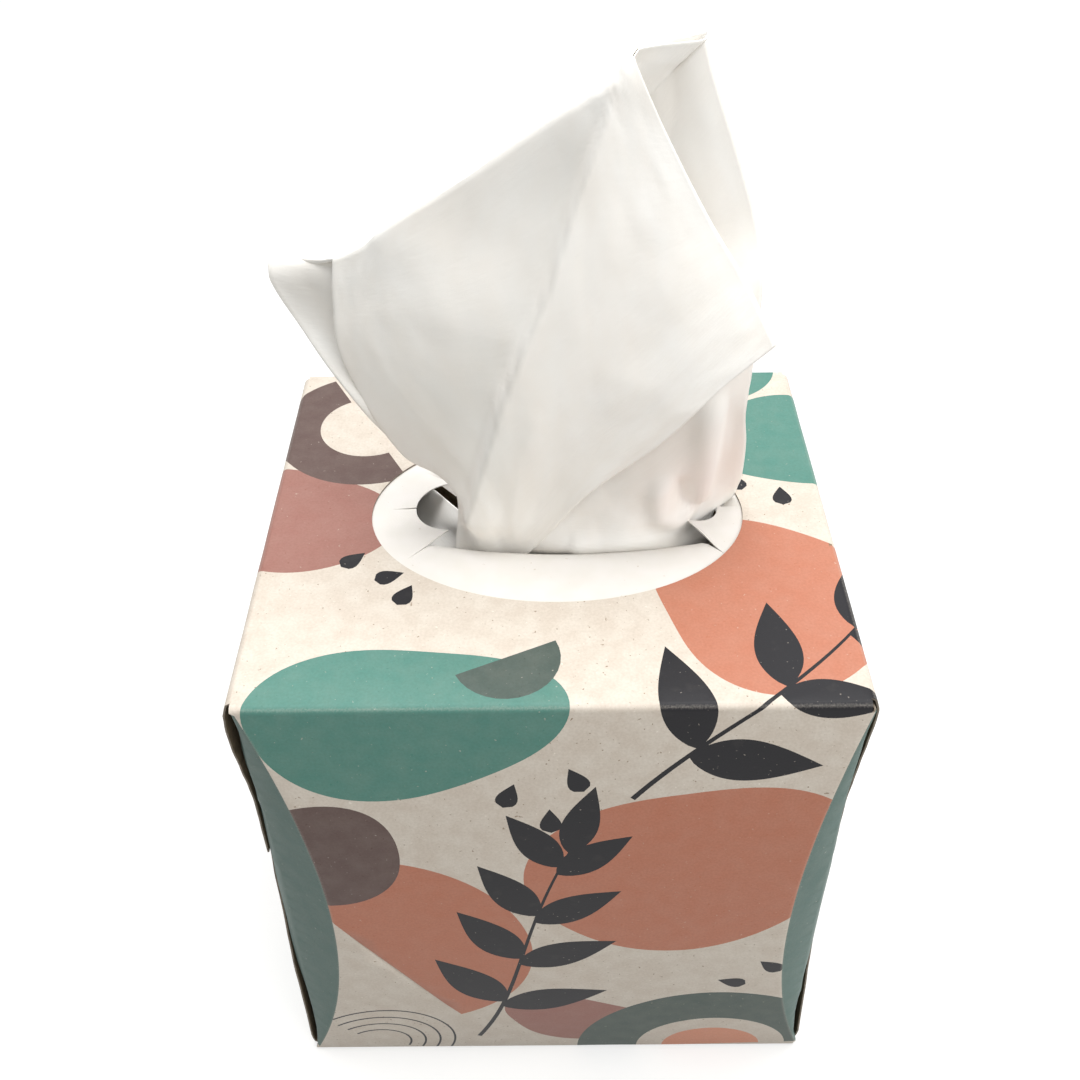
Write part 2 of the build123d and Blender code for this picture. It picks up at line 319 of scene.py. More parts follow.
def boardMaterial(name, inkHex, cover, gloss):
    material, tree, shader = newMaterial(name, {"Roughness": board["roughness"], "Specular IOR Level": gloss})
    place = millimetreCoordinates(tree)
    mottle = fleckMask(tree, place, board["mottle"], 0.35, 0.65, 1)
    dark = fleckMask(tree, place, board["fleck"], 0.70, 0.74, 2)
    pale = fleckMask(tree, place, board["fleck"], 0.71, 0.76, 3)
    speckle = fleckMask(tree, place, board["speckle"], 0.3, 0.7, 9)
    grain = addNode(tree, "TexNoise", {"Vector": place, "Scale": 1 / board["grain"], "Detail": 3.0})
    colour = layered(tree, linear(board["stock"]),
                     ((mottle, board["stockShade"]), (dark, board["fibreDark"])))
    if cover:
        # The ink lies thinner over fibres that stand proud, and where the press mottled it
        patchy = fleckMask(tree, place, board["mottle"], 0.3, 0.7, 4)
        thin = addNode(tree, "Math", {0: patchy, 1: board["inkMottle"]}, operation="MULTIPLY")
        worn = addNode(tree, "Math", {0: pale, 1: board["inkWorn"], 2: thin}, operation="MULTIPLY_ADD")
        ink = addNode(tree, "Math", {0: cover, 1: worn}, operation="SUBTRACT", use_clamp=True)
        colour = layered(tree, colour, ((ink, inkHex),))
    else:
        colour = layered(tree, colour, ((pale, board["fibreLight"]),))
    colour = addNode(tree, "Mix", {0: speckle, 6: colour, 7: board["speckleTint"]}, 2,
                     data_type="RGBA", blend_type="MULTIPLY")
    # Folds rubbed pale: partly real rubbing of the ink, partly a painted highlight along each fold and crease
    wearAndHighlight = addNode(tree, "Attribute", output="Fac", attribute_name="foldWearAndHighlight")
    foldGrain = addNode(tree, "Math", {0: grain, 1: wearAndHighlight}, operation="MULTIPLY")
    low, high, most = board["rubbingAndHighlight"]
    rubbedAndHighlit = addNode(tree, "MapRange", {"Value": foldGrain, "From Min": low, "From Max": high, "To Max": most})
    colour = layered(tree, colour, ((rubbedAndHighlit, board["fibreLight"]),))
    dressed(tree, shader, colour, grain, board["grainHeight"], 0.6)
    return material


# Unprinted back of the board: grey-brown pulp with coarse fibre, dull to the eye, and painted darker than the
# real pulp as shade for the gaps at the box's sides
def rawAndShadedBoardMaterial(name, paleHex, darkHex):
    material, tree, shader = newMaterial(name, {"Roughness": board["rawRoughness"]})
    pulp = fleckMask(tree, millimetreCoordinates(tree), board["rawMottle"], 0.35, 0.7, 5)
    tree.links.new(layered(tree, linear(paleHex), ((pulp, darkHex),)), shader.inputs["Base Color"])
    return material


# Carton

carton = {
    "board": 0.36,
    "foldRadius": 1.4,
    "panelBow": 5.0,
    "dips": {-1: 13.0, 1: 9.2},  # of the left and right creases, at half height
    "creaseStarts": {-1: 1.8, 1: 0.4},  # from the sides
    "bodyInset": 1.2,  # from the sides to where a flap's own outline starts
    "creaseHalf": 0.55,
    "flapAngle": 41.0,
    "dustFlapAngle": 31.0,  # of the flap itself, which springs outwards from its crease
    "dustFlapBend": 3.0,  # half the length of the bend that lays it along the side
    "dustFlapEdge": 96.0,
    "dustFlapTaper": 2.5,
    "topFlapLengths": {-1: 48.5, 1: 53.0},
    "bottomFlapStop": 24.0,
    "flapRelief": 0.4,
    "topTaper": 0.06,
    "bottomTaper": 0.05,
    "lap": 0.4,  # between the outer faces of two flaps that lie together
    # how far the end flaps stand out, by the way down from the top
    "flapSwells": {
        -1: ((0, 0.35), (4, 0.83), (8, 1.14), (13, 1.06), (20, 0.47), (25, 0.02), (30, -0.24), (36, -0.17),
             (41, 0.0), (49, 0.1), (58, 0.4), (70, 0.4), (80, 0.62), (90, 0.74), (100, 0.52), (110, 0.38),
             (122, 0.35)),
        1: ((0, 0.45), (3, 0.80), (7, 0.85), (13, 0.57), (20, 0.16), (25, -0.10), (31, -0.40), (38, -0.28),
            (45, -0.04), (52, 0.12), (62, 0.08), (70, 0.15), (80, 0.32), (90, 0.50), (100, 0.70), (110, 0.70),
            (122, 0.65)),
    },
    "swellStart": 4.0,  # way down from the fold over which a flap comes to its swell
    "footSpread": {-1: 0.0, 1: 1.2},  # the foot is pushed out
    "footHeight": 50.0,
    "spreadRange": (30.0, 20.0),  # from this far out, growing over this length
    # from the sides to the dust flaps: under the top, where all lie together, and at the base
    "dustInsets": {-1: (0.9, 1.05, 1.6), 1: (0.4, 1.05, 1.9)},
    "pinch": (48.0, 98.0),  # heights between which all the flaps lie together
    "pinchEnd": 1.6,  # how fast they part above it
    "mouth": (1.9, 1.0),
    "mouthLength": 76.6,
    "mouthWidth": 54.6,
    "spacing": 4.0,
    "foldSteps": 8,
    "panelSteps": 24,
    "wearAndHighlightReach": 0.9,  # of the rubbing and painted highlight, on each side of a fold
    "endFoldInset": 0.4,  # from the sides to the middle of an end flap's fold
    "waves": ((26.0, 3.1, 1.0), (11.0, 7.7, 0.5)),  # length, seed and share of the waviness
    "waviness": 0.10,
    "smoothAngle": 40,
}
cartonLow, cartonHigh = (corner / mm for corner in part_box("carton"))
boxWidth = cartonHigh.x - cartonLow.x
boxHeight = cartonHigh.z - cartonLow.z
boxDepth = cartonHigh.y - cartonLow.y - 2 * carton["panelBow"]


# Section of the tube, as y and z: from the back of the bottom forwards, up the front, over and down the back
def makeProfile():
    half, radius, bow = boxDepth / 2, carton["foldRadius"], carton["panelBow"]
    points, marks = [(half - radius, 0.0), (radius - half, 0.0)], {"bottomEnd": 1}

    def fold(y, z, start):
        for i in range(1, carton["foldSteps"] + 1):
            angle = math.radians(start - 90 * i / carton["foldSteps"])
            points.append((y + radius * math.cos(angle), z + radius * math.sin(angle)))

    def panel(side, start, end):
        for i in range(1, carton["panelSteps"] + 1):
            share = i / carton["panelSteps"]
            points.append((side * (half + bow * 4 * share * (1 - share)), start + (end - start) * share))

    for name, add, *values in (
        ("frontStart", fold, radius - half, radius, 270),
        ("frontEnd", panel, -1, radius, boxHeight - radius),
        ("topStart", fold, radius - half, boxHeight - radius, 180),
        ("topEnd", points.append, (half - radius, boxHeight)),
        ("backStart", fold, half - radius, boxHeight - radius, 90),
        ("backEnd", panel, 1, boxHeight - radius, radius),
        ("tubeEnd", fold, half - radius, radius, 0),
    ):
        add(*values)
        marks[name] = len(points) - 1
    lengths = [0.0]
    for a, b in zip(points, points[1:]):
        lengths.append(lengths[-1] + math.dist(a, b))
    return points, lengths, {name: lengths[i] for name, i in marks.items()}


profilePoints, profileLengths, marks = makeProfile()
tubeLength = marks["tubeEnd"]
walls = [(marks["frontStart"], marks["frontEnd"]), (marks["backStart"], marks["backEnd"])]
folds = [(marks["bottomEnd"], marks["frontStart"]), (marks["frontEnd"], marks["topStart"]),
         (marks["topEnd"], marks["backStart"]), (marks["backEnd"], tubeLength)]
foldMiddles = [(start + end) / 2 for start, end in folds]
frontFold, backFold = foldMiddles[1:3]


def profileAt(v):
    i = min(max(bisect.bisect_right(profileLengths, v) - 1, 0), len(profilePoints) - 2)
    share = (v - profileLengths[i]) / (profileLengths[i + 1] - profileLengths[i])
    (y0, z0), (y1, z1) = profilePoints[i], profilePoints[i + 1]
    return y0 + (y1 - y0) * share, z0 + (z1 - z0) * share


# Half the width of the front or back panel between its curved creases
def creaseAt(side, z, y):
    across = 1 / math.tan(math.radians(carton["flapAngle"]))
    middle = boxWidth / 2 - carton["dips"][side]
    end = boxWidth / 2 - carton["creaseStarts"][side] - carton["panelBow"] * across
    sagitta = end - middle
    radius = ((boxHeight / 2) ** 2 + sagitta ** 2) / (2 * sagitta)
    arc = middle + radius - math.sqrt(max(0.0, radius ** 2 - (z - boxHeight / 2) ** 2))
    return arc + (boxDepth / 2 + carton["panelBow"] - abs(y)) * across


# Way of a dust flap in plan, from its crease to the side and then inwards along it, in short straight steps
def dustFlapWay(run, reach):
    half = carton["creaseHalf"]
    if run <= -half:
        return run, 0.0
    angle = math.radians(carton["dustFlapAngle"])
    bend = max(half, min(carton["dustFlapBend"], 0.9 * reach))  # a narrow flap bends shorter
    x, inward = -half, 0.0
    count = max(2, math.ceil((run + half) / 0.6))
    step = (run + half) / count
    for i in range(count):
        at = -half + (i + 0.5) * step
        first = max(0.0, min(1.0, (at + half) / (2 * half)))
        second = max(0.0, min(1.0, (at - reach + bend) / (2 * bend)))
        heading = angle * first + (math.pi / 2 - angle) * second
        x += math.cos(heading) * step
        inward += math.sin(heading) * step
    return x, inward


# Way of an end flap, over its fold and along the side
def endFlapWay(run, hinge):
    radius = carton["foldRadius"]
    past = run - (hinge - radius)
    if past <= 0:
        return run, 0.0
    angle = min(past / radius, math.pi / 2)
    drop = radius * (1 - math.cos(angle)) + max(0.0, past - radius * math.pi / 2)
    return hinge - radius * (1 - math.sin(angle)), drop


# How far the end flaps stand out at a height
def swellAt(side, z):
    table = carton["flapSwells"][side]
    depth = max(0.0, min(boxHeight, boxHeight - z))
    i = min(bisect.bisect_right(table, (depth, math.inf)), len(table) - 1)
    (d0, a0), (d1, a1) = table[i - 1], table[i]
    return a0 + (a1 - a0) * smoothStep((depth - d0) / (d1 - d0))


# From the side to the dust flap under it, at a height
def dustInsetAt(side, z):
    top, middle, base = carton["dustInsets"][side]
    low, high = carton["pinch"]
    lower = smoothStep((low - z) / low)
    upper = smoothStep((z - high) / (boxHeight - high) * carton["pinchEnd"])
    return (middle - swellAt(side, z) * (1 - lower) * (1 - upper) + (base - middle) * lower
            + (top - middle) * upper)


# Where a point of the flat blank, u across and v along it, comes to lie on the folded box
def foldedPoint(u, v):
    y, z = profileAt(v)
    side = -1 if u < 0 else 1
    run = abs(u)
    x, inward, rise = run, 0.0, 0.0
    if any(start <= v <= end for start, end in walls):
        crease = creaseAt(side, z, y)
        sidePlane = boxWidth / 2 - dustInsetAt(side, z)
        reach = max(0.0, sidePlane - crease) / math.cos(math.radians(carton["dustFlapAngle"]))
        x, inward = dustFlapWay(run - crease, reach)
        x += crease
    elif marks["topStart"] <= v <= marks["topEnd"]:
        x, drop = endFlapWay(run, boxWidth / 2)
        rise = -drop
        x += swellAt(side, z - drop) * smoothStep(drop / carton["swellStart"])
    elif v <= marks["bottomEnd"]:
        x, rise = endFlapWay(run, boxWidth / 2 - carton["lap"])
        x += swellAt(side, z + rise) * smoothStep(rise / carton["swellStart"])
    spread = max(0.0, 1 - (z + rise) / carton["footHeight"]) ** 2 * carton["footSpread"][side]
    start, length = carton["spreadRange"]
    x += spread * smoothStep((x - start) / length)
    return side * x, y - math.copysign(inward, y), z + rise


# Print: rounded pebbles, half-moons, arches and round-leaved sprigs. Places are x and the way
# past the front fold, up over the top panel or, below zero, down the front; mm and degrees.

printShapes = {
    "stem": (1.1, 0.5),  # width at the foot and at the tip
    "stemSteps": 24,
    "leafPlaces": (0.26, 0.66),  # share of the stem below the first pair, and from it to the last
    "leafSlip": 1.2,  # how far the two of a pair stand off each other along the stem
    "leafShrink": 0.35,  # from the foot to the tip
    "leafAngles": (58, 16),  # to the stem at its foot, and how much less at its tip
    "tipLeaf": (0.7, 0.65),  # length and breadth, of a full leaf's
    "line": 0.5,
}


def turnedOutline(points, x, w, turn):
    c, s = math.cos(math.radians(turn)), math.sin(math.radians(turn))
    return [(x + c * a - s * b, w + s * a + c * b) for a, b in points]


def pebble(x, w, width, height, turn=0, lean=0.07, phase=0.0):
    count = max(20, round((width + height) * 1.1))
    points = []
    for i in range(count):
        angle = 2 * math.pi * i / count
        radius = 1 + lean * math.cos(2 * angle + phase) + lean * math.cos(3 * angle - phase)
        points.append((width / 2 * radius * math.cos(angle), height / 2 * radius * math.sin(angle)))
    return [turnedOutline(points, x, w, turn)]


def arch(x, w, outer, inner, turn=0):
    count = max(12, round(outer * 1.6))
    angles = [math.pi * i / count for i in range(count + 1)]
    rim = [(outer * math.cos(angle), outer * math.sin(angle)) for angle in angles]
    hollow = [(a * inner / outer, b * inner / outer) for a, b in reversed(rim)] if inner else []
    return [turnedOutline(rim + hollow, x, w, turn)]


def leaf(x, w, length, breadth, turn, fullness=0.75):
    count = max(8, round(length * 0.9))
    edge = [(length * i / count, breadth / 2 * math.sin(math.pi * (i / count) ** fullness))
            for i in range(count + 1)]
    return turnedOutline(edge + [(a, -b) for a, b in reversed(edge[1:-1])], x, w, turn)


# Outline of a line with a width, from start to end
def ribbon(path, start, end):
    left, right = [], []
    for i, point in enumerate(path):
        before, after = path[max(i - 1, 0)], path[min(i + 1, len(path) - 1)]
        length = math.dist(before, after)
        nx, ny = -(after[1] - before[1]) / length, (after[0] - before[0]) / length
        half = (start + (end - start) * i / (len(path) - 1)) / 2
        left.append((point[0] + nx * half, point[1] + ny * half))
        right.append((point[0] - nx * half, point[1] - ny * half))
    return left + right[::-1]


def sprig(x, w, length, turn, bend, pairs, leafLength, leafBreadth):
    p = printShapes
    path = []
    for i in range(p["stemSteps"] + 1):
        share = i / p["stemSteps"]
        path.append((length * share, bend * math.sin(math.pi * share / 2) ** 2))
    lean = math.degrees(math.atan2(bend, length))
    shapes = [ribbon(path, *p["stem"])]
    first, rest = p["leafPlaces"]
    wide, narrower = p["leafAngles"]
    for pair in range(pairs):
        share = first + rest * pair / max(pairs - 1, 1)
        place = path[round(share * p["stemSteps"])]
        size = 1 - p["leafShrink"] * share
        for side in (-1, 1):
            outward = side * (wide - narrower * share) + lean * share * 2
            shapes.append(leaf(place[0] + side * p["leafSlip"], place[1], leafLength * size,
                               leafBreadth * size, outward))
    tipLength, tipBreadth = p["tipLeaf"]
    shapes.append(leaf(path[-1][0] - 1, path[-1][1], leafLength * tipLength, leafBreadth * tipBreadth, lean))
    return [turnedOutline(shape, x, w, turn) for shape in shapes]


def contourLines(x, w, radii, turn, sweep):
    outlines = []
    for radius in radii:
        count = max(10, round(radius * math.radians(sweep) / 1.5))
        angles = [math.radians(sweep) * (i / count - 0.5) for i in range(count + 1)]
        path = [(radius * math.cos(angle), 0.8 * radius * math.sin(angle)) for angle in angles]
        outlines.append(turnedOutline(ribbon(path, printShapes["line"], printShapes["line"]), x, w, turn))
    return outlines


def dots(places, width, height, turn):
    return [leaf(x, w, width, height, turn + 23 * i, 0.6) for i, (x, w) in enumerate(places)]


def frontPrints():
    return [
        ("terracotta ink", pebble(27, -44, 62, 52, 25, 0.06, 0.6)),
        ("terracotta ink", arch(-37, -72, 33, 0, -60)),
        ("brown ink", pebble(-46, -38, 36, 29, 20, 0.06, 2.0)),
        ("mauve ink", pebble(6, -104, 34, 24, -15, 0.08, 1.1)),
        ("dark green ink", arch(37, -121, 31, 17, 4)),
        ("peach ink", arch(37, -121, 11, 0, 4)),
        ("teal ink", pebble(-27, -3, 54, 38, 8, 0.07, 0.3)),
        ("charcoal ink", sprig(-17, -114, 80, 68, 10, 4, 27, 11)),
        ("charcoal ink", contourLines(-41, -118, (9, 13, 17, 21), 55, 150)),
        ("charcoal ink", dots(((-9, -24), (0, -31), (6, -20), (49, -80), (42, -86)), 6.5, 4.2, 70)),
    ]


def topPrints():
    return [
        ("peach ink", pebble(12, 104, 66, 20, 2, 0.05, 0.4)),
        ("terracotta ink", pebble(42, 27, 47, 45, -20, 0.07, 1.7)),
        ("mauve ink", pebble(-52, 52, 40, 33, -10, 0.06, 0.9)),
        ("brown ink", arch(-40, 84, 21, 11, 118)),
        ("teal ink", pebble(53, 78, 36, 33, 35, 0.06, 2.2)),
        ("dark green ink", arch(-8, 12, 10, 0, 205)),
        ("charcoal ink", sprig(15, -22, 62, 52, -8, 3, 27, 11)),
        ("charcoal ink", dots(((-34, 33), (-41, 37), (-29, 26), (49, 55), (41, 60)), 6.0, 4.0, 20)),
    ]


def sidePrints():
    prints = []
    for side in (-1, 1):
        shift = 8 * side
        prints += [
            ("terracotta ink", pebble(side * 84, 50 + shift, 30, 40, 12 * side, 0.07, 1.0)),
            ("dark green ink", arch(side * 96, 84 - shift, 15, 0, 90 + 90 * side)),
            ("charcoal ink", sprig(side * 98, 12 + shift, 34, 90, 5 * side, 3, 13, 7)),
            ("teal ink", pebble(side * 88, -150 - shift, 44, 40, -20 * side, 0.07, 0.5)),
            ("terracotta ink", pebble(side * 108, -196, 52, 44, 30 * side, 0.06, 2.6)),
            ("mauve ink", arch(side * 62, -188 - shift, 20, 10, -90 * side)),
            ("brown ink", pebble(side * 122, -136, 24, 18, 40, 0.06, 1.4)),
            ("charcoal ink", sprig(side * 70, -170, 62, 90 - 68 * side, 8, 4, 16, 8)),
            ("charcoal ink", dots(((side * 76, -214), (side * 84, -219), (side * 70, -222)), 5.5, 3.4, 40)),
        ]
    return prints


# The back repeats the front, half a turn round
def backPrints():
    reach = backFold - frontFold
    return [(ink, [[(-x, reach - w) for x, w in outline] for outline in outlines])
            for ink, outlines in frontPrints()]


# A curved crease on the blank, or a line beside it
def creaseLine(side, low, high, spacing, offset=0.0):
    line = []
    for v in steps(low, high, spacing):
        y, z = profileAt(v)
        line.append((side * (creaseAt(side, z, y) + offset), v))
    return line


def dustFlapFields():
    fields = []
    for low, high in walls:
        for side in (-1, 1):
            edge = side * (carton["dustFlapEdge"] + 1)
            fields.append(creaseLine(side, low, high, 2.0) + [(edge, high), (edge, low)])
    return fields


# The end flap on the top and the one on the bottom: where they lie along the blank, fold, length and taper
def endFlaps(side):
    return (
        (marks["topStart"], marks["topEnd"], boxWidth / 2, carton["topFlapLengths"][side],
         carton["topTaper"]),
        (0.0, marks["bottomEnd"], boxWidth / 2 - carton["lap"], boxHeight - carton["bottomFlapStop"],
         carton["bottomTaper"]),
    )


def cartonRegions():
    body = boxWidth / 2 - carton["bodyInset"]
    relief, edge, inset = carton["flapRelief"], carton["dustFlapEdge"], carton["dustFlapTaper"]
    flaps = []
    for side in (-1, 1):
        for start, end in walls:
            low, high = start + relief, end - relief
            flaps.append([(side * body, low), (side * edge, low + inset), (side * edge, high - inset),
                          (side * body, high)])
        for start, end, hinge, length, narrowing in endFlaps(side):
            low, high = start + relief, end - relief
            tip = hinge + length - carton["foldRadius"] * (2 - math.pi / 2)
            taper = narrowing * length
            flaps.append([(side * body, low), (side * hinge, low), (side * tip, low + taper),
                          (side * tip, high - taper), (side * hinge, high), (side * body, high)])
    panels = [(-body, 0.0), (body, 0.0), (body, tubeLength), (-body, tubeLength)]
    return [panels] + [densified(flap, 1.5) for flap in flaps]


def mouthOutline():
    x, y = carton["mouth"]
    middle = marks["topStart"] + boxDepth / 2 - carton["foldRadius"] + y
    return [(x + carton["mouthLength"] / 2 * math.cos(math.radians(a)),
             middle + carton["mouthWidth"] / 2 * math.sin(math.radians(a))) for a in range(0, 360, 3)]


# Lines that give the folds and creases enough points to bend at
def foldLines():
    body = boxWidth / 2 - carton["bodyInset"]
    margin = 0.6  # from the ends of a panel
    lines = []
    for start, end in folds:
        for v in steps(start, end, 0.5):
            lines.append([(u, v) for u in steps(-body, body, 6.0)])
    for side in (-1, 1):
        for start, end in walls:
            for offset in (-1.0, -0.5, 0.5, 1.0):
                lines.append(creaseLine(side, start + margin, end - margin, 3.0,
                                        offset * carton["creaseHalf"]))
        for start, end, hinge, _, _ in endFlaps(side):
            bend = hinge - carton["foldRadius"]
            for u in steps(bend, bend + carton["foldRadius"] * math.pi / 2, 0.45):
                lines.append([(side * u, v) for v in steps(start + margin, end - margin, 6.0)])
    return lines


# 1 on a fold or crease, where the print is rubbed and a highlight is painted, and 0 away from it
def foldWearAndHighlightAt(u, v):
    nearest = min(abs(v - middle) for middle in foldMiddles)
    y, z = profileAt(v)
    side = -1 if u < 0 else 1
    if marks["topStart"] <= v <= marks["topEnd"] or v <= marks["bottomEnd"]:
        nearest = min(nearest, abs(abs(u) - boxWidth / 2 + carton["endFoldInset"]))
    else:
        nearest = min(nearest, abs(abs(u) - creaseAt(side, z, y)))
    return max(0.0, 1 - nearest / carton["wearAndHighlightReach"])


def makeCarton():
    regions = cartonRegions()
    prints = [(ink, [[(x, frontFold + w) for x, w in outline] for outline in outlines])
              for ink, outlines in backPrints() + sidePrints() + frontPrints() + topPrints()]
    prints.append(("dust flap green ink", dustFlapFields()))
    names = list(inks)
    outlines, inkOf = regions + [mouthOutline()], {}
    mouth = len(regions)
    for ink, shapes in prints:
        for shape in shapes:
            inkOf[len(outlines)] = names.index(ink)
            outlines.append(shape)
    reach = boxWidth / 2 + boxHeight - carton["bottomFlapStop"]
    scattered = scatteredGrid(-reach, reach, 0.2, tubeLength - 0.2, carton["spacing"])
    flat, triangles, holders = triangulated(outlines, foldLines(), scattered)
    print("  blank:", len(flat), "points,", len(triangles), "triangles")

    # A triangle is kept inside the blank and outside the mouth, and the print laid last gives its ink
    kept, shades = [], []
    for triangle, holding in zip(triangles, holders):
        if mouth in holding or not any(i < mouth for i in holding):
            continue
        printed = [i for i in holding if i > mouth]
        kept.append(triangle)
        shades.append(inkOf[max(printed)] if printed else 0)
    blank, faces = trimmed(flat, kept)
    piece = meshObject("printed_carton", [foldedPoint(*p) for p in blank], faces)

    mesh = piece.data
    for name, (ink, cover) in inks.items():
        gloss = board["glossUnvarnished" if name.startswith("dust flap") else "gloss"]
        mesh.materials.append(boardMaterial("folding boxboard, " + name, ink, cover, gloss))
    # The raw back and edge are darkened as painted shade for the gaps at the box's sides
    for name, (pale, dark) in board["raw"].items():
        mesh.materials.append(rawAndShadedBoardMaterial("folding boxboard, raw " + name, pale, dark))
    mesh.polygons.foreach_set("material_index", shades)
    flatMap(mesh, [p * mm for p in blank])
    # Nearness to a fold, for the pale line of rubbed print and painted highlight along the folds
    wearAndHighlight = mesh.attributes.new("foldWearAndHighlight", "FLOAT", "POINT")
    wearAndHighlight.data.foreach_set("value", [foldWearAndHighlightAt(*p) for p in blank])
    normals = [vertex.normal.copy() for vertex in mesh.vertices]
    for vertex, normal, (u, v) in zip(mesh.vertices, normals, blank):
        swell = sum(share * noise.noise(Vector((u / length, v / length, seed)))
                    for length, seed, share in carton["waves"])
        vertex.co -= normal * abs(swell) * carton["waviness"] * mm
    rim = len(inks)
    applyModifier(piece, "SOLIDIFY", thickness=carton["board"] * mm, offset=-1.0,
                  material_offset=rim + 1, material_offset_rim=rim)
    # The inner faces have the last material. The rim's faces have four corners, and get the one before it.
    for face in mesh.polygons:
        if face.material_index > rim and len(face.vertices) == 4:
            face.material_index = rim
    smoothed(piece, carton["smoothAngle"])
    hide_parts("carton")
    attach(piece, "root")


print("carton")
makeCarton()


# Slot sheet: white paper glued under the mouth, slit so that its petals and lips give way

slotSheet = {
    "paper": 0.24,
    "colours": ("#E2DED9", "#DEDAD3"),
    "fibreColour": "#CFC7BC",
    "sideGap": 8.2,
    "endGap": 14.7,
    "slotLength": 62.6,
    "slotWidth": 14.6,
    "slotMiddle": (3.9, 2.5),
    "slotEndSteps": 24,
    "slit": 0.35,
    "slitLength": 5.0,
    "rootHalf": 32.2,
    "frontRoot": 15.9,
    "backRoot": 13.7,
    "bendRadius": 3.4,
    "frontAngle": 65.0,
    "backAngle": 55.0,
    "endBend": 4.4,  # how much later the front lip starts to bend at its ends
    # petals by side and end: lift of the tip, and how far past its root the bend starts
    "lifts": {(-1, 1): (0.9, 5.0), (-1, -1): (0.5, 5.0), (1, 1): (-3.5, 7.0), (1, -1): (2.6, 1.0)},
    "petalLength": 9.0,
    "petalSide": (2.0, 8.0),  # the same across the sheet: how far past the root, and over what length
    "rimFade": 6.0,  # how fast a lift comes on from the mouth's edge inwards
    "spacing": 1.8,
}


# Uncoated white paper with a little recycled fibre: matt and slightly warm
def paperMaterial():
    material, tree, shader = newMaterial("uncoated white paper",
                                         {"Roughness": 0.72, "Specular IOR Level": 0.35})
    place = millimetreCoordinates(tree)
    cloud = fleckMask(tree, place, 5.0, 0.3, 0.7, 6)
    fibre = fleckMask(tree, place, 1.3, 0.73, 0.77, 7)
    pale, dull = slotSheet["colours"]
    colour = layered(tree, linear(pale), ((cloud, dull), (fibre, slotSheet["fibreColour"])))
    grain = addNode(tree, "TexNoise", {"Vector": place, "Scale": 3.0, "Detail": 3.0})
    dressed(tree, shader, colour, grain, 0.03, 0.5)
    return material


def makeSlotSheet():
    s = slotSheet
    level = (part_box("slot_sheet")[1] / mm).z
    mouthX, mouthY = carton["mouth"]
    halfX, halfY = boxWidth / 2 - s["sideGap"], boxDepth / 2 - s["endGap"]
    left, right, low, high = mouthX - halfX, mouthX + halfX, mouthY - halfY, mouthY + halfY
    sx, sy = s["slotMiddle"]
    radius, straight = s["slotWidth"] / 2, (s["slotLength"] - s["slotWidth"]) / 2
    roots = {-1: s["frontRoot"], 1: s["backRoot"]}
    slot = []
    for side in (1, -1):
        for i in range(s["slotEndSteps"] + 1):
            angle = math.radians(-90 + 180 * i / s["slotEndSteps"])
            slot.append((sx + side * (straight + radius * math.cos(angle)),
                         sy + side * radius * math.sin(angle)))
    # The slits are narrow triangles that start 1 mm inside the slot, so that they join it
    cuts = [slot]
    for side in (-1, 1):
        apex = sx + side * (straight + radius)
        cuts.append([(apex - side, sy + s["slit"] / 2), (apex + side * s["slitLength"], sy),
                     (apex - side, sy - s["slit"] / 2)])
        for end, root in roots.items():
            tip = Vector((sx + side * straight, sy + end * radius))
            heel = Vector((sx + side * s["rootHalf"], sy + end * root))
            way = (heel - tip).normalized()
            across = way.orthogonal() * s["slit"] / 2
            cuts.append([tuple(tip - way + across), tuple(heel), tuple(tip - way - across)])

    # Lips between the slits bend into the box, and the petals at the ends lift or sag
    def bent(x, y):
        side, end = -1 if x < sx else 1, -1 if y < sy else 1
        root, offX, offY = roots[end], abs(x - sx), abs(y - sy)
        share = (offY - radius) / (root - radius)  # 0 at the slot, 1 at the root
        lipHalf = straight + (s["rootHalf"] - straight) * share
        if offX < lipHalf and offY < root:
            late = s["endBend"] * (offX / s["rootHalf"]) ** 2 if end < 0 else 0.0
            run = root - late - offY
            if run <= 0:
                return x, y, level
            angle = math.radians(s["frontAngle"] if end < 0 else s["backAngle"])
            turn = min(run / s["bendRadius"], angle)
            past = max(0.0, run - s["bendRadius"] * angle)
            out = s["bendRadius"] * math.sin(turn) + past * math.cos(angle)
            down = s["bendRadius"] * (1 - math.cos(turn)) + past * math.sin(angle)
            return x, sy + end * (root - late - out), level - down
        lift, reach = s["lifts"][(side, end)]
        early, length = s["petalSide"]
        petal = (smoothStep((s["rootHalf"] + reach - offX) / (s["petalLength"] + reach))
                 * smoothStep((root + early - offY) / length))
        inside = (1 - ((x - mouthX) * 2 / carton["mouthLength"]) ** 2
                  - ((y - mouthY) * 2 / carton["mouthWidth"]) ** 2)
        return x, y, level + lift * petal * smoothStep(inside * s["rimFade"])

    sheet = [(left, low), (right, low), (right, high), (left, high)]
    cuts = [densified(cut, s["spacing"]) for cut in cuts]
    scattered = scatteredGrid(left, right, low, high, s["spacing"])
    flat, triangles, holders = triangulated([sheet] + cuts, [], scattered)
    flat, faces = trimmed(flat, [t for t, holding in zip(triangles, holders) if list(holding) == [0]])
    piece = meshObject("paper_slot_sheet", [bent(*p) for p in flat], faces)
    piece.data.materials.append(paperMaterial())
    flatMap(piece.data, [p * mm for p in flat])
    applyModifier(piece, "SOLIDIFY", thickness=s["paper"] * mm, offset=-1.0)
    smoothed(piece, carton["smoothAngle"])
    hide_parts("slot_sheet")
    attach(piece, "root")


print("slot sheet")
makeSlotSheet()


# Pulled tissue: one sheet, folded over at its slanted crest and gathered in the slot

